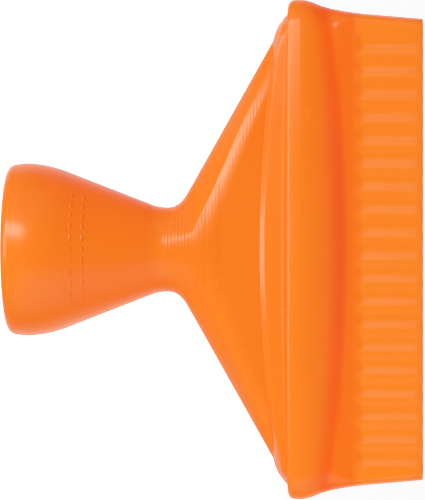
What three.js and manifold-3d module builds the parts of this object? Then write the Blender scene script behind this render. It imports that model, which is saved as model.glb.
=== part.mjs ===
// Flat fan nozzle for a half-inch ball-and-socket coolant hose, moulded in orange acetal.
// Two mouldings: a hollow fan body with the hose socket, and a comb head that snaps onto its spigot
// and lets the flow out through a row of round outlets.
// Millimetres. The origin is the centre of the socket's rim, +Z is the way the fluid flows,
// X is the width of the fan and Y its thickness. The nozzle stands on its socket rim.

import * as THREE from "three";
import { mergeVertices } from "three/addons/utils/BufferGeometryUtils.js";
import Module from "manifold-3d";

const wasm = await Module();
wasm.setup();

// ---------- driving dimensions ----------
const PITCH = 3.175; // outlet spacing, an eighth of an inch
const OUTLETS = 20;
const OUTLET_RADIUS = 1.0;
const WALL = 1.5;
const GAP = 0.15; // clearance between the spigot and the head's pocket
const SEAT_GAP = 0.25; // between the collar's face and the head's lip

const SOCKET_RADIUS = 12.05;
const RIM_ROUND = 0.95;
const BALL_RADIUS = 10.5; // seat for the hose element's ball
const BALL_HEIGHT = 4.2; // the ball's centre above the rim
const MOUTH_RADIUS = 10.0; // snap lip of the socket
const BALL_SEAT_END = 10.8; // where the ball seat gives way to the tapered bore
const CONE_START = 5.2; // where the cylinder and the cone would meet without their blend
const CONE_BLEND = 3.1;
const CONE_SLOPE = 0.39;
const NECK_HEIGHT = 21.9;
const NECK_RADIUS = 5.88;
const NECK_BLEND = 2.1; // how far below the neck its rounding starts
const FLANK_SLOPE = 1.789; // how fast the fan widens
const FLANK_FOOT = 23.86; // height at which the straight flank would leave the neck
const FLARE_RUN = 1.1; // how far above that the flank becomes straight

const FAN_THINS_FROM = 26; // the fan is as thick as the neck up to here
const FAN_THINS_STRAIGHT = 30; // and thins in a straight line from here to the collar
const FAN_SHOULDER = 5.3; // its half-thickness there
const COLLAR_FOOT = 35.3; // foot of the collar's bevel at the middle of the fan
const COLLAR_FOOT_END = 36.9; // and at the fan's ends
const BEVEL_RUN = 0.65;
const COLLAR_TOP = 38.85;
const COLLAR_HALF_WIDTH = 32.75;
const COLLAR_SWELL = 31.6; // half-width at the top of the curve that leads into the collar
const FAN_THIN = 4.4; // half-thickness of the fan just below the collar
const COLLAR_THICK = 4.75; // half-thickness of the collar
const CROWN = 0.0023; // how much the fan and spigot thin towards their ends, per millimetre squared
const COLLAR_CROWN = 0.0007;

const SPIGOT_TOP = 42.6;
const SPIGOT_HALF_WIDTH = 31.2;
const SPIGOT_THICK = 4.2;
const SPIGOT_WALL = 1.2;
const SNAP_HEIGHT = 41.2; // snap ridge round the spigot
const SNAP_RISE = 0.3;
const SNAP_RUN = 0.6;
const SPIGOT_EDGE = 2.2; // rounding of the spigot's section at its ends
const LEAD_IN = 0.4;

const LIP_HEIGHT = COLLAR_TOP + SEAT_GAP;
const LIP_ROUND = 1.0;
const BEAD_HALF_WIDTH = 34.7;
const BEAD_THICK = 5.8; // half-thickness at the bead's peak
const BEAD_PEAK = 40.2;
const BEAD_RADIUS = 8.9; // the bead's barrel curve
const BEAD_EDGE = 3.3; // rounding of the bead's section at its ends
const BEAD_CROWN = 0.0016; // how much the bead thins towards its ends, per millimetre squared
const SHOULDER_HEIGHT = 42.8; // stop for the spigot's end
const PLENUM_TOP = 47.5;
const PLENUM_HALF_WIDTH = 31.3;
const PLENUM_TOP_THICK = 1.3;
const SNOUT_THICK = 3.2; // half-thickness where the bead ends
const WAIST_THICK = 2.85; // where the flutes start
const TIP_THICK = 2.6;
const FLUTE_START = 48.2;
const FLUTE_RUN_OUT = 0.9;
const FLUTE_DEPTH = 0.3;
const TIP_HEIGHT = 57.7;
const TIP_HALF_WIDTH = 32.0;

const QUARTER_STEPS = 10; // points in each quarter of a smooth section

// ---------- outlines and lofts ----------

// Points [height, size] of a path drawn by `draw`, evenly fine on its curved stretches.
function outline(draw, divisions = 4) {
  const path = new THREE.Path();
  draw(path);
  return path.getPoints(divisions).map((p) => [p.x, p.y]);
}

// Size at a height, read from an outline.
function sizeAt(points, height) {
  const next = points.findIndex(([h]) => h >= height);
  if (next <= 0) return points[next < 0 ? points.length - 1 : 0][1];
  const [h0, s0] = points[next - 1];
  const [h1, s1] = points[next];
  return h1 - h0 < 1e-9 ? s1 : s0 + ((s1 - s0) * (height - h0)) / (h1 - h0);
}

// All the heights that several outlines need, in order, between two limits.
function heightsOf(outlines, low, high) {
  const all = outlines.flat().map(([h]) => h);
  const kept = [low, ...all.filter((h) => h > low && h < high), high].sort((a, b) => a - b);
  return kept.filter((h, i) => i === 0 || h - kept[i - 1] > 0.04);
}

// How full the section is at x: 1 on the faces, falling to 0 round the edge.
function fullness(x, width, edge) {
  const inEdge = Math.max(0, Math.abs(x) - (width - edge)) / edge;
  return Math.sqrt(Math.max(0, 1 - inEdge * inEdge));
}

// One ring of a loft: a crowned flat section with elliptical edges, or a circle when edge = width = thick.
// bow lifts the middle of each face's outer part, so that a step across the face runs in an arc.
function ring({ height, width, thick, crown = 0, edge = width, bow = 0 }) {
  const points = [];
  const count = 4 * QUARTER_STEPS;
  for (let i = 0; i < count; i++) {
    const angle = (i / count) * 2 * Math.PI;
    const x = width * Math.cos(angle);
    const full = fullness(x, width, edge);
    const y = Math.sign(Math.round(Math.sin(angle) * 1e6)) * (thick - crown * x * x) * full;
    points.push(new THREE.Vector3(x, y, height + bow * x * x * full));
  }
  return points;
}

// Skin over rings of equally many points. An open skin gets a flat cap at each end;
// a closed one joins its last ring to its first, which makes a tube with a wall.
function loft(rings, closed = false) {
  const n = rings[0].length;
  const positions = rings.flat().flatMap((p) => [p.x, p.y, p.z]);
  const index = [];
  const bands = closed ? rings.length : rings.length - 1;
  for (let r = 0; r < bands; r++) {
    for (let i = 0; i < n; i++) {
      const a = r * n + i;
      const b = r * n + ((i + 1) % n);
      const c = ((r + 1) % rings.length) * n + i;
      const d = ((r + 1) % rings.length) * n + ((i + 1) % n);
      index.push(a, b, d, a, d, c);
    }
  }
  if (!closed) {
    for (const r of [0, rings.length - 1]) {
      const flat = rings[r].map((p) => new THREE.Vector2(p.x, p.y));
      for (const [a, b, c] of THREE.ShapeUtils.triangulateShape(flat, [])) {
        if (r === 0) index.push(c, b, a);
        else index.push(r * n + a, r * n + b, r * n + c);
      }
    }
  }
  const geometry = new THREE.BufferGeometry();
  geometry.setAttribute("position", new THREE.Float32BufferAttribute(positions, 3));
  geometry.setIndex(index);
  return geometry;
}

// ---------- solids for cutting and joining ----------

function solid(geometry) {
  const bare = geometry.clone();
  bare.deleteAttribute("normal");
  bare.deleteAttribute("uv");
  const merged = mergeVertices(bare, 1e-4);
  return new wasm.Manifold(
    new wasm.Mesh({
      numProp: 3,
      vertProperties: new Float32Array(merged.attributes.position.array),
      triVerts: new Uint32Array(merged.index.array),
    }),
  );
}

function geometryOf(manifold) {
  const mesh = manifold.getMesh();
  const geometry = new THREE.BufferGeometry();
  geometry.setAttribute("position", new THREE.BufferAttribute(mesh.vertProperties, 3));
  geometry.setIndex(new THREE.BufferAttribute(mesh.triVerts, 1));
  return geometry;
}

// ---------- fan body ----------

const coneRadius = (height) => SOCKET_RADIUS - CONE_SLOPE * (height - CONE_START);
const flankWidth = (height) => NECK_RADIUS + FLANK_SLOPE * (height - FLANK_FOOT);

// The edge of the fan's section tightens from a full ellipse at the neck to a small round at the collar.
const EDGE_NARROWS_AT = 27.3;
const EDGE_WIDE = 12.8;
const EDGE_TIGHT = 2.8;
function fanEdge(height, width) {
  const edge = EDGE_WIDE + (EDGE_TIGHT - EDGE_WIDE) * ramp(height, EDGE_NARROWS_AT, COLLAR_FOOT);
  return Math.min(width, edge);
}

// A ramp from 0 at `from` to 1 at `to`.
const ramp = (height, from, to) => THREE.MathUtils.clamp((height - from) / (to - from), 0, 1);

function snapBump(height) {
  return SNAP_RISE * Math.max(0, 1 - Math.abs(height - SNAP_HEIGHT) / SNAP_RUN);
}

function bodyOutside() {
  const blendEnd = CONE_START + CONE_BLEND;
  const neckStart = NECK_HEIGHT - NECK_BLEND;
  const flareEnd = FLANK_FOOT + FLARE_RUN;
  const swellTop = COLLAR_FOOT_END + 1.1;
  const width = outline((p) => {
    p.moveTo(0, SOCKET_RADIUS - RIM_ROUND);
    p.absarc(RIM_ROUND, SOCKET_RADIUS - RIM_ROUND, RIM_ROUND, Math.PI, Math.PI / 2, true);
    p.lineTo(CONE_START - CONE_BLEND, SOCKET_RADIUS);
    p.quadraticCurveTo(CONE_START, SOCKET_RADIUS, blendEnd, coneRadius(blendEnd));
    p.lineTo(neckStart, coneRadius(neckStart));
    p.quadraticCurveTo(NECK_HEIGHT - NECK_BLEND / 2, NECK_RADIUS, NECK_HEIGHT + 0.4, NECK_RADIUS);
    p.quadraticCurveTo(FLANK_FOOT, NECK_RADIUS, flareEnd, flankWidth(flareEnd));
    p.lineTo(COLLAR_FOOT_END, flankWidth(COLLAR_FOOT_END) - 0.2);
    p.quadraticCurveTo(COLLAR_FOOT_END + 0.35, COLLAR_SWELL - 0.8, swellTop, COLLAR_SWELL);
    p.lineTo(COLLAR_TOP, COLLAR_HALF_WIDTH);
  });
  const thick = outline((p) => {
    p.moveTo(NECK_HEIGHT, NECK_RADIUS);
    p.lineTo(FAN_THINS_FROM, NECK_RADIUS);
    p.quadraticCurveTo(FAN_THINS_STRAIGHT - 2, NECK_RADIUS, FAN_THINS_STRAIGHT, FAN_SHOULDER);
    p.lineTo(COLLAR_FOOT, FAN_THIN);
    p.lineTo(COLLAR_FOOT + BEVEL_RUN, COLLAR_THICK);
    p.lineTo(COLLAR_TOP, COLLAR_THICK);
  });
  return heightsOf([width, thick], 0, COLLAR_TOP).map((height) => {
    const w = sizeAt(width, height);
    if (height <= NECK_HEIGHT) return ring({ height, width: w, thick: w });
    const onCollar = ramp(height, COLLAR_FOOT, COLLAR_FOOT + BEVEL_RUN);
    const fanCrown = CROWN * ramp(height, EDGE_NARROWS_AT, COLLAR_FOOT);
    const underBevel = ramp(height, COLLAR_FOOT - 2, COLLAR_FOOT);
    const underTop = 1 - ramp(height, COLLAR_FOOT_END, COLLAR_TOP);
    return ring({
      height,
      width: w,
      thick: sizeAt(thick, height),
      edge: fanEdge(height, w),
      crown: fanCrown + (COLLAR_CROWN - fanCrown) * onCollar,
      bow: CROWN * underBevel * underTop,
    });
  });
}

function spigotOutside() {
  const ridge = [SNAP_HEIGHT - SNAP_RUN, SNAP_HEIGHT, SNAP_HEIGHT + SNAP_RUN];
  const heights = [COLLAR_TOP, ...ridge, SPIGOT_TOP - LEAD_IN];
  const sections = heights.map((height) => [height, snapBump(height)]);
  sections.push([SPIGOT_TOP, -0.3]); // the lead-in chamfer
  return sections.map(([height, grow]) =>
    ring({
      height,
      width: SPIGOT_HALF_WIDTH + grow,
      thick: SPIGOT_THICK + grow,
      edge: SPIGOT_EDGE,
      crown: CROWN,
    }),
  );
}

function bodyInside() {
  const ballAt = (height) => Math.sqrt(BALL_RADIUS ** 2 - (height - BALL_HEIGHT) ** 2);
  const lipTop = BALL_HEIGHT - Math.sqrt(BALL_RADIUS ** 2 - MOUTH_RADIUS ** 2);
  const bore = NECK_RADIUS - WALL;
  const flankIn = (height) => flankWidth(height) - WALL * Math.hypot(1, FLANK_SLOPE);
  const spigotIn = SPIGOT_HALF_WIDTH - SPIGOT_WALL - 0.1;
  const spigotThick = SPIGOT_THICK - SPIGOT_WALL;
  const flankTop = COLLAR_TOP + 0.1;
  const boreTop = FLANK_FOOT + 0.5;
  const flareEnd = FLANK_FOOT + 2.4;
  const seatSteps = 5;

  const width = outline((p) => {
    p.moveTo(0, MOUTH_RADIUS + 0.5);
    p.lineTo(0.5, MOUTH_RADIUS);
    p.lineTo(lipTop, MOUTH_RADIUS);
    for (let i = 1; i <= seatSteps; i++) {
      const height = lipTop + ((BALL_SEAT_END - lipTop) * i) / seatSteps;
      p.lineTo(height, ballAt(height));
    }
    p.lineTo(NECK_HEIGHT - 1.5, bore + 0.3);
    p.lineTo(NECK_HEIGHT - 0.5, bore);
    p.lineTo(boreTop, bore);
    p.quadraticCurveTo(FLANK_FOOT + FLARE_RUN, bore + 0.1, flareEnd, flankIn(flareEnd));
    p.lineTo(flankTop, Math.min(flankIn(flankTop), spigotIn));
    p.lineTo(SPIGOT_TOP, spigotIn);
  });
  const thick = outline((p) => {
    p.moveTo(NECK_HEIGHT, bore);
    p.lineTo(FAN_THINS_FROM + 0.5, bore);
    p.lineTo(FAN_THINS_STRAIGHT, FAN_SHOULDER - WALL);
    p.lineTo(COLLAR_FOOT, FAN_THIN - WALL);
    p.lineTo(COLLAR_TOP, spigotThick);
    p.lineTo(SPIGOT_TOP, spigotThick);
  });
  return heightsOf([width, thick], 0, SPIGOT_TOP)
    .reverse()
    .map((height) => {
      const w = sizeAt(width, height);
      if (height <= NECK_HEIGHT) return ring({ height, width: w, thick: w });
      return ring({
        height,
        width: w,
        thick: sizeAt(thick, height),
        edge: Math.max(Math.min(w, 1.2), fanEdge(height, w) - WALL),
        crown: CROWN * ramp(height, EDGE_NARROWS_AT, COLLAR_FOOT),
      });
    });
}

function fanBody() {
  return loft([...bodyOutside(), ...spigotOutside(), ...bodyInside()], true);
}

// ---------- comb head ----------

// Half-thickness of the bead: a flat land up to its peak, then a round side.
function barrel(height) {
  const past = Math.max(0, height - BEAD_PEAK);
  return BEAD_THICK - BEAD_RADIUS + Math.sqrt(BEAD_RADIUS ** 2 - past ** 2);
}

// The crowned bead that grips the fan's collar, running down into the snout.
function bead() {
  const buried = 46.9; // the bead ends inside the snout
  const sideSteps = [43.6, 45.2].map((height) => [height, 0]);
  const width = outline((p) => {
    p.moveTo(LIP_HEIGHT, BEAD_HALF_WIDTH - LIP_ROUND);
    p.absarc(LIP_HEIGHT + LIP_ROUND, BEAD_HALF_WIDTH - LIP_ROUND, LIP_ROUND, Math.PI, Math.PI / 2, true);
    p.lineTo(BEAD_PEAK + 0.5, BEAD_HALF_WIDTH);
    p.quadraticCurveTo(BEAD_PEAK + 1.5, BEAD_HALF_WIDTH, 43, 33.8);
    p.lineTo(buried, 32.2);
  });
  const rings = heightsOf([width, sideSteps], LIP_HEIGHT, buried).map((height) => {
    const intoLip = Math.max(0, LIP_HEIGHT + LIP_ROUND - height);
    const lipDrop = LIP_ROUND - Math.sqrt(Math.max(0, LIP_ROUND ** 2 - intoLip ** 2));
    const w = sizeAt(width, height);
    return ring({ height, width: w, thick: barrel(height) - lipDrop, edge: BEAD_EDGE, crown: BEAD_CROWN });
  });
  return loft(rings);
}

// How far the surface lies below the ridges at x: 0 on a ridge, 1 in the bottom of a flute.
function fluteShare(x) {
  const outerRidge = ((OUTLETS - 1) / 2) * PITCH;
  return Math.abs(x) >= outerRidge ? 0 : Math.abs(Math.cos((Math.PI * x) / PITCH)) ** 1.5;
}

// The flat snout with a shallow flute between each two outlets.
function snout() {
  const start = 41; // inside the bead
  const edge = 1.0;
  const halfSteps = 2 * OUTLETS; // four samples to a pitch
  const width = outline((p) => {
    p.moveTo(start, 33.4);
    p.lineTo(42.6, 34.1);
    p.quadraticCurveTo(45, 33.2, 50, 32.68);
    p.lineTo(TIP_HEIGHT, TIP_HALF_WIDTH);
  });
  const thick = outline((p) => {
    p.moveTo(start, SNOUT_THICK);
    p.lineTo(46, SNOUT_THICK);
    p.lineTo(FLUTE_START, WAIST_THICK);
    p.lineTo(TIP_HEIGHT, TIP_THICK);
  });
  const fluted = [FLUTE_START + FLUTE_RUN_OUT / 2, FLUTE_START + FLUTE_RUN_OUT].map((h) => [h, 0]);
  const rings = heightsOf([width, thick, fluted], start, TIP_HEIGHT).map((height) => {
    const w = sizeAt(width, height);
    const t = sizeAt(thick, height);
    const deep = FLUTE_DEPTH * ramp(height, FLUTE_START, FLUTE_START + FLUTE_RUN_OUT);
    const xs = [];
    for (let i = -halfSteps + 1; i < halfSteps; i++) xs.push((i * PITCH) / 4);
    const corner = w - edge;
    for (const angle of [0, 30, 60]) {
      const x = corner + edge * Math.sin(THREE.MathUtils.degToRad(angle));
      xs.push(x);
      xs.unshift(-x);
    }
    const face = xs.map((x) => [x, (t - deep * fluteShare(x)) * fullness(x, w, edge)]);
    const points = [new THREE.Vector3(w, 0, height)];
    for (const [x, y] of [...face].reverse()) points.push(new THREE.Vector3(x, y, height));
    points.push(new THREE.Vector3(-w, 0, height));
    for (const [x, y] of face) points.push(new THREE.Vector3(x, -y, height));
    return points;
  });
  return loft(rings);
}

// The space inside the head: the pocket that takes the spigot, then the plenum that feeds the outlets.
function headHollow() {
  const pocketWidth = SPIGOT_HALF_WIDTH + GAP;
  const pocketThick = SPIGOT_THICK + GAP;
  const sections = [[LIP_HEIGHT - 1, 0]];
  for (const height of [SNAP_HEIGHT - SNAP_RUN, SNAP_HEIGHT, SNAP_HEIGHT + SNAP_RUN, SHOULDER_HEIGHT]) {
    sections.push([height, snapBump(height)]);
  }
  const rings = sections.map(([height, grow]) =>
    ring({ height, width: pocketWidth + grow, thick: pocketThick + grow, edge: SPIGOT_EDGE, crown: CROWN }),
  );
  const plenumFoot = { height: SHOULDER_HEIGHT, width: PLENUM_HALF_WIDTH, thick: SPIGOT_THICK - SPIGOT_WALL };
  const ceiling = { height: PLENUM_TOP, width: PLENUM_HALF_WIDTH, thick: PLENUM_TOP_THICK };
  rings.push(ring({ ...plenumFoot, edge: SPIGOT_EDGE - SPIGOT_WALL + 0.2, crown: CROWN }));
  rings.push(ring({ ...ceiling, edge: PLENUM_TOP_THICK }));
  return loft(rings);
}

function outletDrill(i) {
  const from = PLENUM_TOP - 1;
  const to = TIP_HEIGHT + 1;
  const drill = new THREE.CylinderGeometry(OUTLET_RADIUS, OUTLET_RADIUS, to - from, 12);
  drill.rotateX(Math.PI / 2);
  drill.translate((i - (OUTLETS - 1) / 2) * PITCH, 0, (from + to) / 2);
  return drill;
}

function combHead() {
  let made = solid(bead()).add(solid(snout()));
  made = made.subtract(solid(headHollow()));
  for (let i = 0; i < OUTLETS; i++) made = made.subtract(solid(outletDrill(i)));
  return geometryOf(made);
}

// ---------- assembly ----------

const acetal = new THREE.MeshStandardMaterial({ color: 0xf37626, roughness: 0.38, metalness: 0 });

function piece(name, geometry) {
  const mesh = new THREE.Mesh(geometry, acetal);
  mesh.name = name;
  return mesh;
}

const nozzle = new THREE.Group();
nozzle.add(piece("fan_body", fanBody()));
nozzle.add(piece("comb_head", combHead()));

export default nozzle;
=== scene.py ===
"""Looks of the flat fan nozzle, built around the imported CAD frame.

Shapes are worked out in millimetres, in the frame's own axes (X width, Y thickness, +Z the way the
fluid flows), and turned into metres when a mesh is made. Each moulding is one closed skin of rings:
up the outside, over the far end, and back down the inside.
"""

import math

import bpy
import numpy as np
from mathutils import Matrix, Vector


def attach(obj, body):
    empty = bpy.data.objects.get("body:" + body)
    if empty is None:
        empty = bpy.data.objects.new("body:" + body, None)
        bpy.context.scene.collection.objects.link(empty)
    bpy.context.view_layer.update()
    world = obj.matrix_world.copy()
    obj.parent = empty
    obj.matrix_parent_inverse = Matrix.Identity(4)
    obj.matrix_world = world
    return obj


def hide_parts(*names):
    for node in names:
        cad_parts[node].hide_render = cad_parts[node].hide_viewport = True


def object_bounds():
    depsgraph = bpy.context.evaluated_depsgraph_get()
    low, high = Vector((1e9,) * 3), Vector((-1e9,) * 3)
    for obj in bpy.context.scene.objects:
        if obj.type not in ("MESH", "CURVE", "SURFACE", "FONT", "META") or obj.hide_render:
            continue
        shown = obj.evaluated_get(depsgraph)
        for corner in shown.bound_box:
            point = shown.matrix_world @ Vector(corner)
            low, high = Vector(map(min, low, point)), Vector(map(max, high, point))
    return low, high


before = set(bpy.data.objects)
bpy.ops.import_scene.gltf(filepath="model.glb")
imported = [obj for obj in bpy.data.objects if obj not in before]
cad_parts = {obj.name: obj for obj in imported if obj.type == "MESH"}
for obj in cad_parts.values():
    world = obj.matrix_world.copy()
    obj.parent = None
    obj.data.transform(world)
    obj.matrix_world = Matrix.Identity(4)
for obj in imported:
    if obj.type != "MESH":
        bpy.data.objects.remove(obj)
cad_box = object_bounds()

MM = 0.001

# ---------- driving dimensions, in millimetres ----------

PITCH = 3.175  # outlet spacing, an eighth of an inch
OUTLETS = 20
OUTLET_RADIUS = 1.0
WALL = 1.5

SOCKET_RADIUS = 12.05
RIM_ROUND = 0.95
BALL_RADIUS = 10.5
BALL_HEIGHT = 4.2
MOUTH_RADIUS = 10.0
MOUTH_LEAD = 0.5  # height and width of the bevel at the mouth
SEAT_END = 10.8
BARREL_PEAK = 3.4  # the socket narrows very slightly from here to its rim
BARREL_CURVE = 0.035
CONE_START = 5.2  # where the barrel and the cone would meet without their blend
CONE_BLEND = 3.1
CONE_SLOPE = 0.39
NECK_HEIGHT = 21.9
NECK_RADIUS = 5.88
NECK_BLEND = 2.1  # how far below the neck the cone starts to bend into it
NECK_BEND = 1.0
NECK_STRAIGHT = 0.4
FLANK_SLOPE = 1.789
FLANK_FOOT = 23.86
FLARE_RUN = 1.1  # the height over which the neck bends out into the flanks
BORE_FUNNEL = 0.3  # the bore is this much wider where the ball seat runs into it
BORE_TOP = 0.5  # how far above the flank's foot the bore starts to widen
INNER_FLARE_RUN = 2.4

COLLAR_FOOT = 35.3  # at the middle of the fan; at the ends the foot is at COLLAR_FOOT_END
COLLAR_FOOT_END = 36.9
COLLAR_TOP = 39.0
COLLAR_HALF_WIDTH = 32.75
COLLAR_TUCK = 0.2  # the flanks end this much short of their straight line
SWELL = 1.1  # the height over which they swell out into the collar's ends
SWELL_WIDTH = 31.6
SWELL_BEND = 0.35
SWELL_BEND_WIDTH = 30.8
BEVEL_RISE = 0.65  # height of the bevel under the collar at the middle, and at the ends
BEVEL_RISE_END = 1.3
BEVEL_ROUND = 0.08
LEDGE = 0.2  # the collar's last stretch, under the comb head's lip, stands this much proud
LEDGE_SPAN = (0.78, 0.85)  # the share of the collar's height over which the ledge rises
FAN_THINS_FROM = 26.0
FAN_THINS_BEND = 28.0
FAN_STRAIGHT_FROM = 30.0
FAN_SHOULDER = 5.3
FAN_THIN = 4.4
COLLAR_THICK = 4.75
COLLAR_EDGE = 3.0  # how far in from its ends the collar starts to round off
END_BLEND = 6.0  # how far in from its ends the collar meets the flanks with a slow blend
BOW_START = 29.0  # from here up the rings bow, until they follow the collar's foot
COLLAR_CROWN = 0.0013
CROWN = 0.0023  # thinning towards the ends, and the arch of the collar's foot, per millimetre squared
CROWN_START = 27.3
CROWN_END = 36.3

SPIGOT_TOP = 42.6
SPIGOT_HALF_WIDTH = 31.2
SPIGOT_THICK = 4.2
SPIGOT_WALL = 1.2
SPIGOT_EDGE = 2.2  # how far in from their ends the spigot and its pocket start to round off
SPIGOT_LEAD = 0.4  # height of the bevel at the spigot's top, which is LEAD_IN deep
LEAD_IN = 0.3
SNAP_HEIGHT = 41.2  # of the ridge that holds the spigot in its pocket
SNAP_REACH = 0.6
SNAP_RISE = 0.3

LIP_HEIGHT = 39.0
LIP_ROUND = 1.0
LIP_FACE_SHARE = 0.5  # the lip's round is this share as deep on its faces as at its ends
BEAD_HALF_WIDTH = 34.7
BEAD_THICK = 5.8
BEAD_EDGE = 3.3  # how far in from its ends the bead starts to round off
BEAD_PEAK = 40.2
LAND_END = 40.85
LAND_SLOPE = 0.01
BEAD_RADIUS = 8.9
BEAD_CROWN = 0.0016
POCKET_HALF_WIDTH = 31.35
POCKET_THICK = 4.35
SHOULDER_HEIGHT = 42.8
PLENUM_HALF_WIDTH = 31.3
PLENUM_TOP = 47.5
PLENUM_TOP_THICK = 1.3
PLENUM_TOP_EDGE = 0.6
PLENUM_FOOT_EDGE = 1.2
FLUTE_START = 48.2
FLUTE_RUN_OUT = 1.3
FLUTE_DEPTH = 0.3
TIP_HEIGHT = 57.7
TIP_HALF_WIDTH = 32.0
TIP_ROUND = 0.15
SNOUT_THICK = 3.2
SNOUT_EDGE = 1.0
WAIST_THICK = 2.85
TIP_THICK = 2.6
JUNCTION_END = 32.0  # how far out the line between bead and snout still falls
FILLET = 0.7  # softening of the corner between the bead and the snout

CUSP_START = 22.0  # the mould's cutter left fine steps from here up
CUSP_PITCH = 0.47
CUSP_DEPTH = 0.04
CUSP_FAINT = 0.25  # how much of them is left on the nearly flat faces
# Height, rise and half-width of two fine witness rings. The section grows by rise / RIDGE_RADIUS.
RIDGES = ((1.05, 0.025, 0.1), (19.4, 0.03, 0.12))
RIDGE_RADIUS = 9.0

DASH_ROWS = (9.5, 11.1)  # raised dashes round the front of the cone, in place of lettering
DASH_COUNT = 11
DASH_SPREAD = math.radians(46)
DASH_LENGTH = 1.0
DASH_WIDTH = 0.34
DASH_RISE = 0.12
DASH_SQUARENESS = 6
DASH_END_SHARE = 0.04  # the least share of its section that a dash keeps at its ends
DASH_STEPS = 11
DASH_SIDES = 12


# ---------- outlines ----------


class Outline:
    """A curve of (height, size) points drawn with lines and quadratic curves."""

    def __init__(self, height, size):
        self.points = [(height, size)]

    def line(self, height, size):
        self.points.append((height, size))
        return self

    def curve(self, control, end, steps=24):
        start = np.array(self.points[-1])
        control, end = np.array(control), np.array(end)
        for t in np.linspace(0, 1, steps + 1)[1:]:
            point = (1 - t) ** 2 * start + 2 * t * (1 - t) * control + t * t * end
            self.points.append(tuple(point))
        return self

    def at(self, heights):
        heights_known, sizes = np.array(self.points).T
        return np.interp(heights, heights_known, sizes)


def ramp(x, start, end):
    return np.clip((x - start) / (end - start), 0, 1)


def smooth_ramp(x, start, end):
    t = ramp(x, start, end)
    return t * t * (3 - 2 * t)


def smooth_min(a, b, radius):
    """The lower of two surfaces, with the corner between them rounded."""
    gap = np.clip(0.5 + 0.5 * (b - a) / radius, 0, 1)
    return b + (a - b) * gap - radius * gap * (1 - gap)


def smooth_max(a, b, radius):
    return -smooth_min(-a, -b, radius)


def cone_radius(height):
    return SOCKET_RADIUS - CONE_SLOPE * (height - CONE_START)


def flank_width(height):
    return NECK_RADIUS + FLANK_SLOPE * (height - FLANK_FOOT)


# ---------- the fan body's sections ----------

RING_STEP = 0.1
ROUND_RINGS = 9  # rings in the round of the rim and of the lip
RINGS_PER_CUSP = 6
EDGE_SEGMENTS = 22
CREASE_SEGMENTS = 6
FACE_SEGMENTS = 34
CREASE_HALF_WIDTH = 0.3
ROUND_SHARE = 0.35  # where a round section, which has no crease, puts its middle points
DEEPEST_CREASE = 0.75  # a crease lies no farther in than this share of the half-width
COLLAR_CREASE = 3.3
ROUND_UP_TO = 23.2  # the sections are round below this height
FLAT_FROM = 27.0  # and have faces and flanks above this one

cone_end = CONE_START + CONE_BLEND
neck_start = NECK_HEIGHT - NECK_BLEND
flare_end = FLANK_FOOT + FLARE_RUN
body_width = (
    Outline(0, SOCKET_RADIUS)
    .line(CONE_START - CONE_BLEND, SOCKET_RADIUS)
    .curve((CONE_START, SOCKET_RADIUS), (cone_end, cone_radius(cone_end)))
    .line(neck_start, cone_radius(neck_start))
    .curve((NECK_HEIGHT - NECK_BEND, NECK_RADIUS), (NECK_HEIGHT + NECK_STRAIGHT, NECK_RADIUS))
    .curve((FLANK_FOOT, NECK_RADIUS), (flare_end, flank_width(flare_end)))
    .line(COLLAR_FOOT_END, flank_width(COLLAR_FOOT_END) - COLLAR_TUCK)
    .curve((COLLAR_FOOT_END + SWELL_BEND, SWELL_BEND_WIDTH), (COLLAR_FOOT_END + SWELL, SWELL_WIDTH))
    .line(COLLAR_TOP, COLLAR_HALF_WIDTH)
)
fan_thick = (
    Outline(0, SOCKET_RADIUS)
    .line(NECK_HEIGHT, NECK_RADIUS)
    .line(FAN_THINS_FROM, NECK_RADIUS)
    .curve((FAN_THINS_BEND, NECK_RADIUS), (FAN_STRAIGHT_FROM, FAN_SHOULDER))
    .line(COLLAR_FOOT, FAN_THIN)
)
# How far in from the flank's edge the crease between face and flank runs.
crease_inset = (
    Outline(0, 0)
    .line(CUSP_START, 0)
    .line(24, 6.2)
    .line(25.9, 7.5)
    .line(COLLAR_FOOT_END, COLLAR_CREASE)
    .line(SPIGOT_TOP, COLLAR_CREASE)
)


def quarter_insets(width, crease):
    """Distances in from the section's end, from 0 at the end to width in the middle."""
    crease = min(max(crease, ROUND_SHARE * width), DEEPEST_CREASE * width)
    inner = crease - CREASE_HALF_WIDTH
    outer = crease + CREASE_HALF_WIDTH
    turn = np.linspace(0, math.pi / 2, EDGE_SEGMENTS + 1)
    edge = inner * (1 - np.cos(turn))
    across = np.linspace(inner, outer, CREASE_SEGMENTS + 1)[1:]
    face = np.linspace(outer, width, FACE_SEGMENTS + 1)[1:]
    return np.concatenate([edge, across, face])


def whole_ring(x, y, z):
    """A closed ring from its quarter where x and y are positive, from the end to the middle."""
    front = np.concatenate([x, -x[-2::-1]])
    side = np.concatenate([y, y[-2::-1]])
    height = np.concatenate([z, z[-2::-1]])
    back = slice(-2, 0, -1)
    xs = np.concatenate([front, front[back]])
    ys = np.concatenate([side, -side[back]])
    zs = np.concatenate([height, height[back]])
    return np.stack([xs, ys, zs], axis=1)


def ellipse_section(x, width, thick, edge):
    """Half-thickness at x of a flat section whose last stretch, edge long, is a quarter of an ellipse."""
    into_edge = np.clip((np.abs(x) - (width - edge)) / edge, 0, 1)
    return thick * np.sqrt(1 - into_edge**2)


CREASE_SLOPE = 0.22  # how steeply the face falls where it meets the crease
FACE_FALL = 6.5  # how far in from the crease the face starts to fall
FLANK_POWER = 0.68
CREASE_ROUND = 0.06


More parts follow.
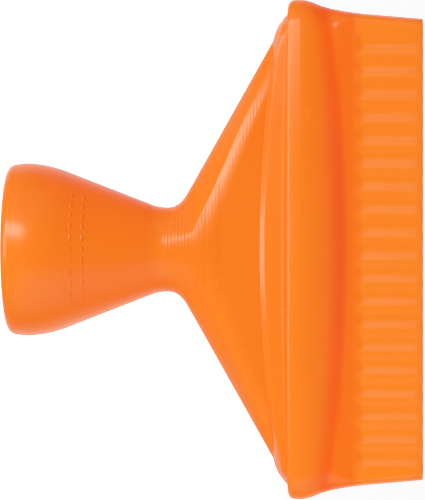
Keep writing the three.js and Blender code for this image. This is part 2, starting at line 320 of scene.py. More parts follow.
def fan_section(x, width, thick, crease, crown):
    """A face that falls gently to a crease, then a flank that rounds down to the section's end."""
    inset = width - np.abs(x)
    fall = min(FACE_FALL, width - crease)
    into = np.clip(crease + fall - inset, 0, None)
    face = thick - crown * x * x - CREASE_SLOPE * into**2 / (2 * fall)
    at_crease = thick - crown * (width - crease) ** 2 - CREASE_SLOPE * fall / 2
    flank = at_crease * (np.clip(inset, 0, None) / crease) ** FLANK_POWER
    return smooth_min(face, flank, CREASE_ROUND)


def body_ring(height, end_height, collar=0.0, bow=0.0, proud=0.0):
    """One outer ring.

    height is the ring's at the middle and end_height at the ends. collar goes from 0 on the fan to 1 on
    the collar's face, bow lifts the ring by so much per millimetre squared, and proud makes it bigger.
    """
    width = float(body_width.at(end_height)) + proud
    crease = min(float(crease_inset.at(end_height)), DEEPEST_CREASE * width)
    inset = quarter_insets(width, crease)
    x = width - inset
    if end_height <= CUSP_START:
        y = ellipse_section(x, width, width, width)
        return whole_ring(x, y, np.full_like(x, height))
    crown = CROWN * float(ramp(end_height, CROWN_START, COLLAR_FOOT_END))
    thick = float(fan_thick.at(min(height, COLLAR_FOOT)))
    round_section = ellipse_section(x, width, min(thick, width), width)
    fan = fan_section(x, width, thick, crease, crown)
    flat = float(smooth_ramp(end_height, ROUND_UP_TO, FLAT_FROM))
    y = round_section + (fan - round_section) * flat
    on_collar = ellipse_section(x, width, COLLAR_THICK + proud, COLLAR_EDGE) - COLLAR_CROWN * x * x
    y = y + (np.maximum(on_collar, 0) - y) * collar
    full = smooth_ramp(inset, 0, END_BLEND)
    z = height + bow * x * x * full + (1 - full) * (end_height - height)
    return whole_ring(x, y, z)


def barrelled(ring):
    """A ring of the socket, drawn in a little near the rim."""
    ring = ring.copy()
    below = np.clip(BARREL_PEAK - ring[:, 2:], 0, None)
    ring[:, :2] *= 1 - BARREL_CURVE * below**2 / SOCKET_RADIUS
    return ring


def ridge_growth(height):
    """How much wider the witness rings make the section at a height."""
    rise = sum(rise * math.exp(-(((height - place) / half) ** 2)) for place, rise, half in RIDGES)
    return 1 + rise / RIDGE_RADIUS


# Where the rings of the bevel and of the collar lie, closer together where the surface turns.
BEVEL_SHARES = (0.04, 0.1, 0.2, 0.4, 0.6, 0.8, 0.9, 0.96, 1.0)
COLLAR_SHARES = (0.1, 0.2, 0.3, 0.4, 0.5, 0.6, 0.68, 0.76, 0.8, 0.83, 0.86, 0.9, 0.95, 1.0)


def socket_rings():
    rings = []
    for turn in np.linspace(0, math.pi / 2, ROUND_RINGS):
        height = RIM_ROUND * (1 - math.cos(turn))
        radius = SOCKET_RADIUS - RIM_ROUND * (1 - math.sin(turn))
        x = radius - quarter_insets(radius, 0)
        y = np.sqrt(np.clip(radius**2 - x**2, 0, None))
        rings.append(barrelled(whole_ring(x, y, np.full_like(x, height))))
    for height in np.arange(RIM_ROUND + RING_STEP, CUSP_START, RING_STEP):
        ring = barrelled(body_ring(height, height))
        ring[:, :2] *= ridge_growth(height)
        rings.append(ring)
    return rings


def fan_rings():
    rings = []
    steps = int((COLLAR_FOOT - CUSP_START) / CUSP_PITCH * RINGS_PER_CUSP)
    for height in np.linspace(CUSP_START, COLLAR_FOOT, steps + 1):
        bowed = smooth_ramp(height, BOW_START, COLLAR_FOOT)
        lag = (COLLAR_FOOT_END - COLLAR_FOOT) * bowed
        rings.append(body_ring(height, height + lag, 0, CROWN * bowed))
    return rings


def collar_rings():
    rings = []
    for t in BEVEL_SHARES:
        on_collar = smooth_min(t, 1, BEVEL_ROUND) - smooth_min(0, 1, BEVEL_ROUND)
        height = COLLAR_FOOT + BEVEL_RISE * t
        end_height = COLLAR_FOOT_END + BEVEL_RISE_END * t
        rings.append(body_ring(height, end_height, float(on_collar), CROWN))
    foot = COLLAR_FOOT + BEVEL_RISE
    foot_end = COLLAR_FOOT_END + BEVEL_RISE_END
    for t in COLLAR_SHARES:
        height = foot + (COLLAR_TOP - foot) * t
        end_height = foot_end + (COLLAR_TOP - foot_end) * t
        proud = LEDGE * smooth_ramp(t, *LEDGE_SPAN)
        rings.append(body_ring(height, end_height, 1.0, CROWN * (1 - t), proud))
    return rings


def body_outside():
    return [*socket_rings(), *fan_rings(), *collar_rings()]


def plain_ring(height, width, thick, edge, crown):
    """A ring of the inner skin or the spigot, with the same number of points as an outer ring."""
    x = width - quarter_insets(width, COLLAR_CREASE)
    y = np.maximum(ellipse_section(x, width, thick, edge) - crown * x * x, 0)
    y[0] = 0
    return whole_ring(x, y, np.full_like(x, height))


# Heights round the snap ridge, with what the ridge adds there.
snap = (
    (SNAP_HEIGHT - SNAP_REACH, 0),
    (SNAP_HEIGHT, SNAP_RISE),
    (SNAP_HEIGHT + SNAP_REACH, 0),
)


def spigot_outside():
    rings = []
    lead = ((SPIGOT_TOP - SPIGOT_LEAD, 0), (SPIGOT_TOP, -LEAD_IN))
    for height, grow in ((COLLAR_TOP, 0), *snap, *lead):
        width = SPIGOT_HALF_WIDTH + grow
        rings.append(plain_ring(height, width, SPIGOT_THICK + grow, SPIGOT_EDGE, CROWN))
    return rings


INNER_STEP = 0.5
SEAT_STEPS = 20
FAN_EDGE = 12.8  # how far in from its ends the fan rounds off where it starts, and under the collar
FAN_TOP_EDGE = 2.8

bore = NECK_RADIUS - WALL
mouth_top = BALL_HEIGHT - math.sqrt(BALL_RADIUS**2 - MOUTH_RADIUS**2)
spigot_bore = SPIGOT_HALF_WIDTH - SPIGOT_WALL - 0.1
spigot_bore_thick = SPIGOT_THICK - SPIGOT_WALL


def inner_width():
    """Half-width of the hollow: mouth, ball seat, bore, fan chamber and spigot."""
    chamber_start = FLANK_FOOT + INNER_FLARE_RUN
    chamber_width = flank_width(chamber_start) - WALL * math.hypot(1, FLANK_SLOPE)
    width = Outline(0, MOUTH_RADIUS + MOUTH_LEAD)
    width.line(MOUTH_LEAD, MOUTH_RADIUS).line(mouth_top, MOUTH_RADIUS)
    for height in np.linspace(mouth_top, SEAT_END, SEAT_STEPS)[1:]:
        width.line(height, math.sqrt(BALL_RADIUS**2 - (height - BALL_HEIGHT) ** 2))
    # The seat runs into the bore over the last of the cone.
    width.line(NECK_HEIGHT - 1.5, bore + BORE_FUNNEL).line(NECK_HEIGHT - 0.5, bore)
    width.line(FLANK_FOOT + BORE_TOP, bore)
    width.curve((FLANK_FOOT + FLARE_RUN, bore + 0.1), (chamber_start, chamber_width))
    # Under the spigot's root the chamber is a little narrower than the spigot.
    width.line(COLLAR_TOP - 1, spigot_bore - 1).line(COLLAR_TOP + 0.5, spigot_bore)
    return width.line(SPIGOT_TOP, spigot_bore)


def inner_thick():
    """Half-thickness of the hollow. Below the neck it is only a limit, as the hollow is round there."""
    thick = Outline(0, 20).line(NECK_HEIGHT, bore).line(FAN_THINS_FROM + 0.5, bore)
    thick.line(FAN_STRAIGHT_FROM, FAN_SHOULDER - WALL).line(COLLAR_FOOT, FAN_THIN - WALL + 0.2)
    return thick.line(COLLAR_TOP, spigot_bore_thick).line(SPIGOT_TOP, spigot_bore_thick)


def body_inside():
    """Inner rings from the spigot's mouth down to the socket's."""
    widths, thicks = inner_width(), inner_thick()
    rings = []
    for height in np.concatenate([np.arange(SPIGOT_TOP, 1.2, -INNER_STEP), [mouth_top, MOUTH_LEAD, 0]]):
        width = float(widths.at(height))
        if height <= NECK_HEIGHT:
            x = width - quarter_insets(width, 0)
            y = np.sqrt(np.clip(width**2 - x**2, 0, None))
            rings.append(whole_ring(x, y, np.full_like(x, height)))
            continue
        thick = min(float(thicks.at(height)), width)
        towards_collar = float(ramp(height, CROWN_START, CROWN_END))
        edge = FAN_EDGE + (FAN_TOP_EDGE - FAN_EDGE) * towards_collar - WALL
        rings.append(plain_ring(height, width, thick, min(edge, width), CROWN * towards_collar))
    return rings


# ---------- meshes ----------


def ring_quads(rings, closed):
    """Faces over rings of equally many points; closed joins the last ring to the first."""
    count = len(rings[0])
    bands = len(rings) if closed else len(rings) - 1
    here = np.arange(count)
    after = (here + 1) % count
    faces = []
    for band in range(bands):
        low = band * count
        high = ((band + 1) % len(rings)) * count
        faces.append(np.stack([low + here, low + after, high + after, high + here], axis=1))
    return np.concatenate(faces)


SHARP_ANGLE = math.radians(38)
BODY_PALENESS = 0.75


def mesh_object(name, points, faces, tone_and_painted_shading):
    """A piece from points in millimetres, with the plastic's tone at each of them, which on the comb head
    holds painted light and shade.
    """
    mesh = bpy.data.meshes.new(name)
    mesh.from_pydata((points * MM).tolist(), [], [list(map(int, face)) for face in faces])
    mesh.update()
    mesh.shade_smooth()
    mesh.set_sharp_from_angle(angle=SHARP_ANGLE)
    # This attribute holds the tone: one even value on the fan body, painted light and shade on the comb
    # head.
    wall = mesh.attributes.new("tone_and_painted_shading", "FLOAT", "POINT")
    wall.data.foreach_set("value", np.broadcast_to(tone_and_painted_shading, len(points)).astype(float))
    piece = bpy.data.objects.new(name, mesh)
    bpy.context.scene.collection.objects.link(piece)
    return piece


def grid_normals(grid):
    """Outward normals of a skin whose rings run anticlockwise seen from above, rings rising."""
    around = np.roll(grid, -1, axis=1) - np.roll(grid, 1, axis=1)
    along = np.gradient(grid, axis=0)
    normals = np.cross(around, along)
    return normals / np.maximum(np.linalg.norm(normals, axis=2, keepdims=True), 1e-9)


def cusps(height, downward):
    """How far the cutter's fine scallops stand proud, by height and by how far a normal points down.

    They show on the neck and on slopes like the creases', are faint elsewhere, and end below the collar.
    """
    share = (height / CUSP_PITCH) % 1.0
    scallop = 4 * (share - 0.5) ** 2 * smooth_ramp(height, CUSP_START, CUSP_START + 0.2)
    crease = smooth_ramp(downward, 0, 0.1) * (1 - smooth_ramp(downward, 0.5, 0.75))
    near_neck = 1 - smooth_ramp(height, 24.5, 27)
    below_collar = 1 - smooth_ramp(height, COLLAR_FOOT - 0.3, COLLAR_FOOT + 0.3)
    return CUSP_DEPTH * scallop * np.maximum(np.maximum(crease, near_neck), CUSP_FAINT) * below_collar


def make_fan_body():
    outside = np.array(body_outside())
    normals = grid_normals(outside)
    depth = cusps(outside[:, :, 2], -normals[:, :, 2])
    outside = outside + normals * depth[:, :, None]
    rings = [*outside, *spigot_outside(), *body_inside()]
    faces = ring_quads(rings, closed=True)
    return mesh_object("fan_body_moulding", np.concatenate(rings), faces, BODY_PALENESS)


def dash(height, angle):
    """Rings of one low rounded bar that lies round the cone."""
    rings = []
    around = np.linspace(0, 2 * math.pi, DASH_SIDES + 1)[:-1]
    for t in np.linspace(-1, 1, DASH_STEPS):
        share = math.sqrt(max(DASH_END_SHARE, 1 - abs(t) ** DASH_SQUARENESS))
        up = DASH_WIDTH / 2 * share * np.cos(around)
        outward = cone_radius(height + up) + DASH_RISE * share * np.sin(around)
        turn = angle + t * DASH_LENGTH / 2 / cone_radius(height)
        rings.append(np.stack([outward * math.cos(turn), outward * math.sin(turn), height + up], axis=1))
    return rings


def make_dashes():
    points, faces = [], []
    for height in DASH_ROWS:
        for share in np.linspace(-1, 1, DASH_COUNT):
            rings = dash(height, -math.pi / 2 + DASH_SPREAD * share)
            first = sum(len(p) for p in points)
            last = first + DASH_SIDES * (DASH_STEPS - 1)
            faces += (ring_quads(rings, closed=False) + first).tolist()
            faces.append([first + j for j in reversed(range(DASH_SIDES))])
            faces.append([last + j for j in range(DASH_SIDES)])
            points += rings
    return mesh_object("moulded_dashes", np.concatenate(points), faces, BODY_PALENESS)


# ---------- the comb head's sections ----------

PER_PITCH = 12
HEAD_EDGE_SEGMENTS = 10
BEAD_RINGS = 44
WAIST_RINGS = 14
RUN_OUT_RINGS = 8
COMB_RINGS = 9
TIP_RINGS = 3
PLENUM_RINGS = 6
WALL_STEPS = 4  # steps across the head in each wall between two outlets' cells
HOLE_POINTS = 2 * (PER_PITCH + WALL_STEPS)
GAP_SHARES = (1 / 3, 1 / 2, 2 / 3)
LATTICE_END = OUTLETS / 2 * PITCH
PLENUM_LATTICE_END = PLENUM_HALF_WIDTH - 0.1
OUTER_RIDGE = (OUTLETS - 1) / 2 * PITCH
lattice = np.linspace(LATTICE_END, 0, OUTLETS // 2 * PER_PITCH + 1)

# The head's ends draw in above the bead, first fast and then slowly.
head_width = (
    Outline(LIP_HEIGHT, BEAD_HALF_WIDTH)
    .line(BEAD_PEAK + 0.5, BEAD_HALF_WIDTH)
    .curve((BEAD_PEAK + 1.5, BEAD_HALF_WIDTH), (43, 34.1))
    .curve((45, 33.2), (50, 32.68))
    .line(TIP_HEIGHT, TIP_HALF_WIDTH)
)
snout_thick = (
    Outline(LIP_HEIGHT, SNOUT_THICK)
    .line(46, SNOUT_THICK)
    .line(FLUTE_START, WAIST_THICK)
    .line(TIP_HEIGHT, TIP_THICK)
)


def squeezed_lattice(end):
    """The lattice, with its part beyond the last ridge drawn in so that it ends at end."""
    beyond = np.clip(lattice - OUTER_RIDGE, 0, None)
    squeeze = (end - OUTER_RIDGE) / (LATTICE_END - OUTER_RIDGE)
    return np.minimum(lattice, OUTER_RIDGE) + beyond * squeeze


def head_quarter(width, edge, lattice_end=LATTICE_END):
    """The x values of a quarter ring, from the end to the middle: the rounded edge, then the lattice."""
    start = math.asin(min(0.995, max(0.0, (lattice_end - (width - edge)) / edge)))
    turn = np.linspace(math.pi / 2, start, HEAD_EDGE_SEGMENTS + 1)[:-1]
    rounded = width - edge + edge * np.sin(turn)
    if width - edge > lattice_end:
        # The round ends short of the lattice, so its last points are spread over the gap instead.
        gaps = len(GAP_SHARES)
        last = rounded[-gaps - 1]
        rounded[-gaps:] = last + (lattice_end - last) * np.array(GAP_SHARES)
    return np.concatenate([rounded, squeezed_lattice(lattice_end)])


LEAST_DROP = 0.15


def bead_drop(x):
    """How far the bead's peak stands over the snout's face at x."""
    return np.maximum(BEAD_THICK - BEAD_CROWN * x * x - SNOUT_THICK, LEAST_DROP)


def junction_height(x):
    """Where the bead's barrel curve meets the snout's face. It stays level beyond JUNCTION_END."""
    drop = bead_drop(np.minimum(x, JUNCTION_END))
    return BEAD_PEAK + np.sqrt(BEAD_RADIUS**2 - (BEAD_RADIUS - drop) ** 2)


FLUTE_SHARPNESS = 1.5


def flute_share(x):
    """1 in the flutes between the outlets and 0 on the ridges over them."""
    share = np.abs(np.cos(math.pi * x / PITCH)) ** FLUTE_SHARPNESS
    return np.where(np.abs(x) >= OUTER_RIDGE, 0, share)


BARREL_LIMIT = 0.95  # the share of its radius up to which the bead's curve is followed


def barrel(height):
    """Half-thickness of the bead: a flat land, a faint edge, then a round side."""
    land = BEAD_THICK - LAND_SLOPE * np.abs(LAND_END - height)
    past = np.minimum(height - BEAD_PEAK, BARREL_LIMIT * BEAD_RADIUS)
    sagging = BEAD_RADIUS - np.sqrt(BEAD_RADIUS**2 - past**2)
    at_land_end = BEAD_RADIUS - math.sqrt(BEAD_RADIUS**2 - (LAND_END - BEAD_PEAK) ** 2)
    return np.where(height < LAND_END, land, BEAD_THICK + at_land_end - sagging)


def head_face(z, x):
    """Half-thickness of the comb head without its flutes: bead and snout, filleted together."""
    on_bead = barrel(z) - BEAD_CROWN * x * x
    return smooth_max(on_bead, snout_thick.at(z), FILLET)


lip_top = LIP_HEIGHT + LIP_ROUND
junction_end = float(junction_height(JUNCTION_END))


def bead_rings():
    """From the lip's edge up to the line where the bead meets the snout."""
    rings = []
    for turn in np.linspace(0, math.pi / 2, ROUND_RINGS):
        back_off = LIP_ROUND * (1 - math.sin(turn))
        height = LIP_HEIGHT + LIP_ROUND * (1 - math.cos(turn))
        width = BEAD_HALF_WIDTH - back_off
        x = head_quarter(width, BEAD_EDGE)
        thick = barrel(height) - LIP_FACE_SHARE * back_off - BEAD_CROWN * x * x
        y = thick * ellipse_section(x, width, 1, BEAD_EDGE)
        rings.append(whole_ring(x, y, np.full_like(x, height)))
    for t in np.linspace(0, 1, BEAD_RINGS + 1)[1:]:
        width = float(head_width.at(lip_top + (junction_end - lip_top) * t))
        x = head_quarter(width, BEAD_EDGE)
        z = lip_top + (junction_height(x) - lip_top) * t
        rings.append(whole_ring(x, head_face(z, x) * ellipse_section(x, width, 1, BEAD_EDGE), z))
    return rings


def snout_ring(z, x, width, edge=SNOUT_EDGE):
    deep = FLUTE_DEPTH * smooth_ramp(z, FLUTE_START, FLUTE_START + FLUTE_RUN_OUT)
    y = (head_face(z, x) - deep * flute_share(x)) * ellipse_section(x, width, 1, edge)
    return whole_ring(x, y, z)


def waist_rings():
    """From the bead, along a line that falls towards the ends, to the level where the flutes start."""
    rings = []
    for t in np.linspace(0, 1, WAIST_RINGS + 1)[1:]:
        width = float(head_width.at(junction_end + (FLUTE_START - junction_end) * t))
        edge = BEAD_EDGE + (SNOUT_EDGE - BEAD_EDGE) * smooth_ramp(t, 0, 1)
        x = head_quarter(width, edge)
        begin = junction_height(x)
        rings.append(snout_ring(begin + (FLUTE_START - begin) * t, x, width, edge))
    return rings


def comb_rings():
    """The fluted snout and the small round at its tip."""
    rings = []
    deepest = FLUTE_START + FLUTE_RUN_OUT
    run_out = np.linspace(FLUTE_START, deepest, RUN_OUT_RINGS + 1)[1:]
    straight = np.linspace(deepest, TIP_HEIGHT - TIP_ROUND, COMB_RINGS + 1)[1:]
    for height in (*run_out, *straight):
        width = float(head_width.at(height))
        x = head_quarter(width, SNOUT_EDGE)
        rings.append(snout_ring(np.full_like(x, height), x, width))
    for turn in np.linspace(0, math.pi / 2, TIP_RINGS + 1)[1:]:
        back_off = TIP_ROUND * (1 - math.cos(turn))
        height = TIP_HEIGHT - TIP_ROUND * (1 - math.sin(turn))
        width = float(head_width.at(height)) - back_off
        x = head_quarter(width, SNOUT_EDGE)
        ring = snout_ring(np.full_like(x, height), x, width)
        ring[:, 1] *= 1 - back_off / TIP_THICK
        rings.append(ring)
    return rings


def head_inside():
    """Inner rings from the plenum's ceiling down to the lip."""
    rings = []

    def ring(height, width, thick, edge, crown):
        x = head_quarter(width, edge, PLENUM_LATTICE_END)
        y = (thick - crown * x * x) * ellipse_section(x, width, 1, edge)
        return whole_ring(x, y, np.full_like(x, height))

    for t in np.linspace(0, 1, PLENUM_RINGS):
        height = PLENUM_TOP + (SHOULDER_HEIGHT - PLENUM_TOP) * t
        thick = PLENUM_TOP_THICK + (spigot_bore_thick - PLENUM_TOP_THICK) * t
        edge = PLENUM_TOP_EDGE + (PLENUM_FOOT_EDGE - PLENUM_TOP_EDGE) * t
        rings.append(ring(height, PLENUM_HALF_WIDTH, thick, edge, CROWN * t))
    for height, grow in ((SHOULDER_HEIGHT, 0), *reversed(snap), (LIP_HEIGHT, 0)):
        rings.append(ring(height, POCKET_HALF_WIDTH + grow, POCKET_THICK + grow, SPIGOT_EDGE, CROWN))
    return rings


def outlet_cells(start, count, points, faces, flip):
    """Fills a flat ring of count points from start with faces round a row of holes.

    Walls of points between the holes part the ring into one cell for each. The new points go on the end
    of points. Returns the first point of each hole's circle, which has HOLE_POINTS points.
    """
    half = count // 2
    walls = []
    for k in range(OUTLETS + 1):
        upper = start + HEAD_EDGE_SEGMENTS + k * PER_PITCH
        lower = start + (start - upper) % count
        first = len(points)
        for share in np.arange(1, WALL_STEPS) / WALL_STEPS:
            points.append(points[upper] + (points[lower] - points[upper]) * share)
        walls.append([upper, *range(first, len(points)), lower])
    circles = []
    for k in range(OUTLETS):
        upper = HEAD_EDGE_SEGMENTS + k * PER_PITCH
        top = [start + upper + j for j in range(PER_PITCH + 1)]
        bottom = [start + (count - upper - j) % count for j in range(PER_PITCH + 1)]
        loop = top + walls[k + 1][1:-1] + bottom[::-1] + walls[k][-2:0:-1]
        centre = OUTER_RIDGE - k * PITCH
        first = len(points)
        circles.append(first)
        for index in loop:
            x, y, z = points[index]
            angle = math.atan2(y, x - centre)
            across = OUTLET_RADIUS * math.cos(angle)
            points.append(np.array([centre + across, OUTLET_RADIUS * math.sin(angle), z]))
        for j in range(HOLE_POINTS):
            after = (j + 1) % HOLE_POINTS
            quad = [loop[j], loop[after], first + after, first + j]
            faces.append(quad[::-1] if flip else quad)
    # Beyond the first and the last wall one polygon closes each end of the ring.
    for wall, turning_point, way in ((walls[0], 0, -1), (walls[-1], half, 1)):
        reach = range(1 - HEAD_EDGE_SEGMENTS, HEAD_EDGE_SEGMENTS)
        around = [start + (turning_point + way * i) % count for i in reach]
        polygon = [wall[0], *around, *wall[:0:-1]]
        faces.append(polygon[::-1] if (way < 0) != flip else polygon)
    return circles


def make_comb_head():
    outer = [*bead_rings(), *waist_rings(), *comb_rings()]
    inner = head_inside()
    count = len(outer[0])
    tip = (len(outer) - 1) * count
    ceiling = len(outer) * count
    pocket_mouth = (len(outer) + len(inner) - 1) * count
    points = list(np.concatenate(outer + inner))
    faces = ring_quads(outer, closed=False).tolist()
    faces += (ring_quads(inner, closed=False) + ceiling).tolist()
    for i in range(count):
        after = (i + 1) % count
        faces.append([pocket_mouth + i, pocket_mouth + after, after, i])
    tip_circles = outlet_cells(tip, count, points, faces, flip=False)
    ceiling_circles = outlet_cells(ceiling, count, points, faces, flip=True)
    for above, below in zip(tip_circles, ceiling_circles):
        for j in range(HOLE_POINTS):
            after = (j + 1) % HOLE_POINTS
            faces.append([above + j, above + after, below + after, below + j])
    points = np.array(points)
    return mesh_object("comb_head_moulding", points, faces, head_painted_light_and_shade(points))


# Painted shade in the corner where the bead meets the snout, and painted light above it on the bead, the
# waist and the comb.
CORNER_PAINTED_SHADE = 0.16
BEAD_GAIN = 0.62  # painted light that the bead, the waist and the comb add to the corner's painted shade
WAIST_GAIN = 0.28
COMB_GAIN = 0.45


def head_painted_light_and_shade(points):
    """Painted light and shade on the comb head: painted shade in the corner under the bead, and painted
    light on the bead and on the fluted comb, standing in for light let through thin walls.
    """
    height = points[:, 2]
    past = height - junction_height(np.abs(points[:, 0]))
    on_bead = CORNER_PAINTED_SHADE + BEAD_GAIN * smooth_ramp(-past, -0.3, 2.4)
    on_waist = CORNER_PAINTED_SHADE + WAIST_GAIN * smooth_ramp(past, -0.2, 1.3)
    on_comb = COMB_GAIN * smooth_ramp(height, FLUTE_START - 0.6, FLUTE_START + 1.4)
    return np.clip(np.where(past < 0, on_bead, on_waist + on_comb), 0, 1)


# ---------- materials ----------


# Ends of the colour ramp: painted shade on the comb head runs towards the deep orange and painted light
# towards the pale one; the fan body keeps one tone between them.
DEEP_ORANGE = (0.95, 0.072, 0.003, 1)
PALE_ORANGE = (0.95, 0.158, 0.008, 1)


def acetal():
    """Orange acetal: slightly translucent, satin from the mould, deeper in colour where the mesh attribute
    paints shade and paler where it paints light.
    """
    material = bpy.data.materials.new("orange_acetal")
    material.use_nodes = True
    nodes, links = material.node_tree.nodes, material.node_tree.links
    shader = nodes["Principled BSDF"]
    shader.inputs["IOR"].default_value = 1.48
    shader.inputs["Specular IOR Level"].default_value = 0.3
    shader.inputs["Subsurface Weight"].default_value = 0.1
    shader.inputs["Subsurface Radius"].default_value = (1.0, 0.3, 0.1)
    shader.inputs["Subsurface Scale"].default_value = 0.0015
    place = nodes.new("ShaderNodeTexCoord").outputs["Object"]

    def noise(scale, detail, low, high):
        """Noise in the object's own space, scale features to the metre, spread over low to high."""
        texture = nodes.new("ShaderNodeTexNoise")
        texture.inputs["Scale"].default_value = scale
        texture.inputs["Detail"].default_value = detail
        links.new(place, texture.inputs["Vector"])
        spread = nodes.new("ShaderNodeMapRange")
        spread.inputs["From Min"].default_value = 0.15
        spread.inputs["From Max"].default_value = 0.85
        spread.inputs["To Min"].default_value = low
        spread.inputs["To Max"].default_value = high
        links.new(texture.outputs["Fac"], spread.inputs["Value"])
        return spread.outputs["Result"]

    # The mesh attribute with the tone and the painted light and shade; the noise added to it is a random
    # tone.
    wall = nodes.new("ShaderNodeAttribute")
    wall.attribute_name = "tone_and_painted_shading"
    flow = nodes.new("ShaderNodeMath")
    flow.operation = "ADD"
    links.new(wall.outputs["Fac"], flow.inputs[0])
    links.new(noise(55, 3, -0.05, 0.05), flow.inputs[1])
    colour = nodes.new("ShaderNodeValToRGB")
    colour.color_ramp.elements[0].color = DEEP_ORANGE
    colour.color_ramp.elements[1].color = PALE_ORANGE
    links.new(flow.outputs[0], colour.inputs["Fac"])
    links.new(colour.outputs["Color"], shader.inputs["Base Color"])
    links.new(noise(240, 4, 0.2, 0.3), shader.inputs["Roughness"])

    bump = nodes.new("ShaderNodeBump")
    bump.inputs["Strength"].default_value = 0.12
    bump.inputs["Distance"].default_value = 0.00003
    links.new(noise(3200, 3, 0, 1), bump.inputs["Height"])
    links.new(bump.outputs["Normal"], shader.inputs["Normal"])
    return material


# ---------- scene ----------

fan_body = make_fan_body()
comb_head = make_comb_head()
dashes = make_dashes()
plastic = acetal()
for piece in (fan_body, comb_head, dashes):
    piece.data.materials.append(plastic)
    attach(piece, "root")
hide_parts("fan_body")
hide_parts("comb_head")


FLOOR_HALF = 6.0


def make_floor():
    """A white floor that glows, so that no shadow shows on it, and that doesn't light the object."""
    half = FLOOR_HALF
    corners = [(-half, -half, 0), (half, -half, 0), (half, half, 0), (-half, half, 0)]
    mesh = bpy.data.meshes.new("floor")
    mesh.from_pydata(corners, [], [(0, 1, 2, 3)])
    floor = bpy.data.objects.new("floor", mesh)
    bpy.context.scene.collection.objects.link(floor)
    floor.visible_diffuse = False
    floor.visible_glossy = False
    floor.visible_shadow = False
    floor.visible_transmission = False
    material = bpy.data.materials.new("pale_floor")
    material.use_nodes = True
    shader = material.node_tree.nodes["Principled BSDF"]
    shader.inputs["Base Color"].default_value = (0.95, 0.95, 0.95, 1)
    shader.inputs["Roughness"].default_value = 0.9
    shader.inputs["Specular IOR Level"].default_value = 0.0
    shader.inputs["Emission Color"].default_value = (1, 1, 1, 1)
    shader.inputs["Emission Strength"].default_value = 1.2
    mesh.materials.append(material)


low, high = cad_box
MIDDLE = (low + high) / 2
AIM = Vector((0.00007, 0, 0.02845))  # the point, in metres, that the camera looks at
CARD_AIM = Vector((0.02, 0, 0.045))

FRONT_LIGHT = 0.2  # the world's strength, in front of the object and behind it
BACK_LIGHT = 0.95
CURVE_WHITE = 1.6  # the light value that is shown as full white


def softbox(name, toward, distance, width, height, radiance, aim=MIDDLE):
    """A rectangular soft light that shines on the point aim from the direction toward.

    Lengths are in metres; width runs across the picture and height up it. radiance is how bright the
    light's own face is, whatever its size.
    """
    light = bpy.data.lights.new(name, "AREA")
    light.shape = "RECTANGLE"
    light.size = width
    light.size_y = height
    light.energy = radiance * math.pi * width * height
    lamp = bpy.data.objects.new(name, light)
    back = Vector(toward).normalized()
    lamp.location = aim + back * distance
    across = Vector((-1, 0, 0)).cross(back).normalized()
    upward = back.cross(across)
    lamp.rotation_euler = Matrix((across, upward, back)).transposed().to_euler()
    bpy.context.scene.collection.objects.link(lamp)
    return lamp


def direction(left, up):
    """Unit vector towards a light, from its angles left of and above the picture's middle.

    The object lies on its side in the picture: +Z runs to the right and -X up.
    """
    left, up = math.radians(left), math.radians(up)
    return (-math.sin(up), -math.cos(up) * math.cos(left), -math.cos(up) * math.sin(left))


def light_world():
    """A world that brightens from in front of the object to behind it, and is white to the camera."""
    world = bpy.data.worlds.new("studio")
    world.use_nodes = True
    bpy.context.scene.world = world
    nodes, links = world.node_tree.nodes, world.node_tree.links
    background = nodes["Background"]
    background.inputs["Color"].default_value = (1, 1, 1, 1)
    coordinate = nodes.new("ShaderNodeTexCoord")
    split = nodes.new("ShaderNodeSeparateXYZ")
    links.new(coordinate.outputs["Generated"], split.inputs[0])
    depth = nodes.new("ShaderNodeMapRange")
    depth.interpolation_type = "SMOOTHSTEP"
    depth.inputs["From Min"].default_value = 0.3
    depth.inputs["From Max"].default_value = 0.95
    depth.inputs["To Min"].default_value = FRONT_LIGHT
    depth.inputs["To Max"].default_value = BACK_LIGHT
    links.new(split.outputs["Y"], depth.inputs["Value"])
    path = nodes.new("ShaderNodeLightPath")
    seen = nodes.new("ShaderNodeMath")
    seen.operation = "MAXIMUM"
    links.new(depth.outputs[0], seen.inputs[0])
    bright = nodes.new("ShaderNodeMath")
    bright.operation = "MULTIPLY"
    bright.inputs[1].default_value = CURVE_WHITE
    links.new(path.outputs["Is Camera Ray"], bright.inputs[0])
    links.new(bright.outputs[0], seen.inputs[1])
    links.new(seen.outputs[0], background.inputs["Strength"])


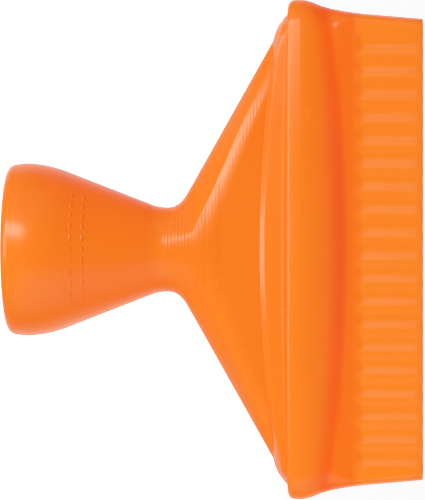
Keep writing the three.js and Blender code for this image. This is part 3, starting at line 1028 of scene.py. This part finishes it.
def place_lamps():
    """Two lamps that show as highlights, and fills that only light."""
    softbox("key", direction(29, 25), distance=0.6, width=0.57, height=0.17, radiance=11.6)
    softbox("strip", direction(57, 6), distance=0.6, width=0.08, height=0.32, radiance=16)
    for fill in (
        softbox("top", direction(20, 65), distance=0.6, width=0.6, height=0.5, radiance=1.3),
        softbox("side", direction(75, 0), distance=0.5, width=0.7, height=0.7, radiance=0.4),
        softbox("card", (0.9, -0.5, 0.1), distance=0.25, width=0.3, height=0.3, radiance=3.1, aim=CARD_AIM),
        softbox("back", (0.5, 0.8, 0.4), distance=0.6, width=0.6, height=0.6, radiance=2),
        softbox("over", (0.1, -0.3, 1), distance=0.6, width=0.6, height=0.6, radiance=0.8),
    ):
        fill.visible_glossy = False


# Light values, and what is shown for them.
SHOULDER = (
    (0.2, 0.2),
    (0.4, 0.4),
    (0.6, 0.6),
    (0.75, 0.735),
    (0.9, 0.83),
    (1.1, 0.89),
    (1.35, 0.93),
)


def set_tone():
    """Light values as they are up to a shoulder, so that bright orange doesn't burn out."""
    view = bpy.context.scene.view_settings
    view.view_transform = "Standard"
    view.use_curve_mapping = True
    view.curve_mapping.white_level = (CURVE_WHITE, CURVE_WHITE, CURVE_WHITE)
    curve = view.curve_mapping.curves[3]
    for light, shown in SHOULDER:
        curve.points.new(light / CURVE_WHITE, shown)
    view.curve_mapping.update()


CAMERA_DISTANCE = 0.6
CAMERA_ELEVATION = math.radians(4)
SENSOR_WIDTH = 36
LENS = 310.5


def place_camera():
    """A long lens in front of the object and a little above it, rolled so that +Z runs to the right."""
    data = bpy.data.cameras.new("camera")
    data.sensor_width = SENSOR_WIDTH
    data.lens = LENS
    data.clip_start = 0.05
    data.clip_end = 50
    eye = bpy.data.objects.new("camera", data)
    back = Vector((0, -math.cos(CAMERA_ELEVATION), math.sin(CAMERA_ELEVATION)))
    eye.location = AIM + back * CAMERA_DISTANCE
    right = Vector((0, math.sin(CAMERA_ELEVATION), math.cos(CAMERA_ELEVATION)))
    upward = back.cross(right)
    eye.rotation_euler = Matrix((right, upward, back)).transposed().to_euler()
    bpy.context.scene.collection.objects.link(eye)
    bpy.context.scene.camera = eye


make_floor()
light_world()
place_lamps()
place_camera()
set_tone()
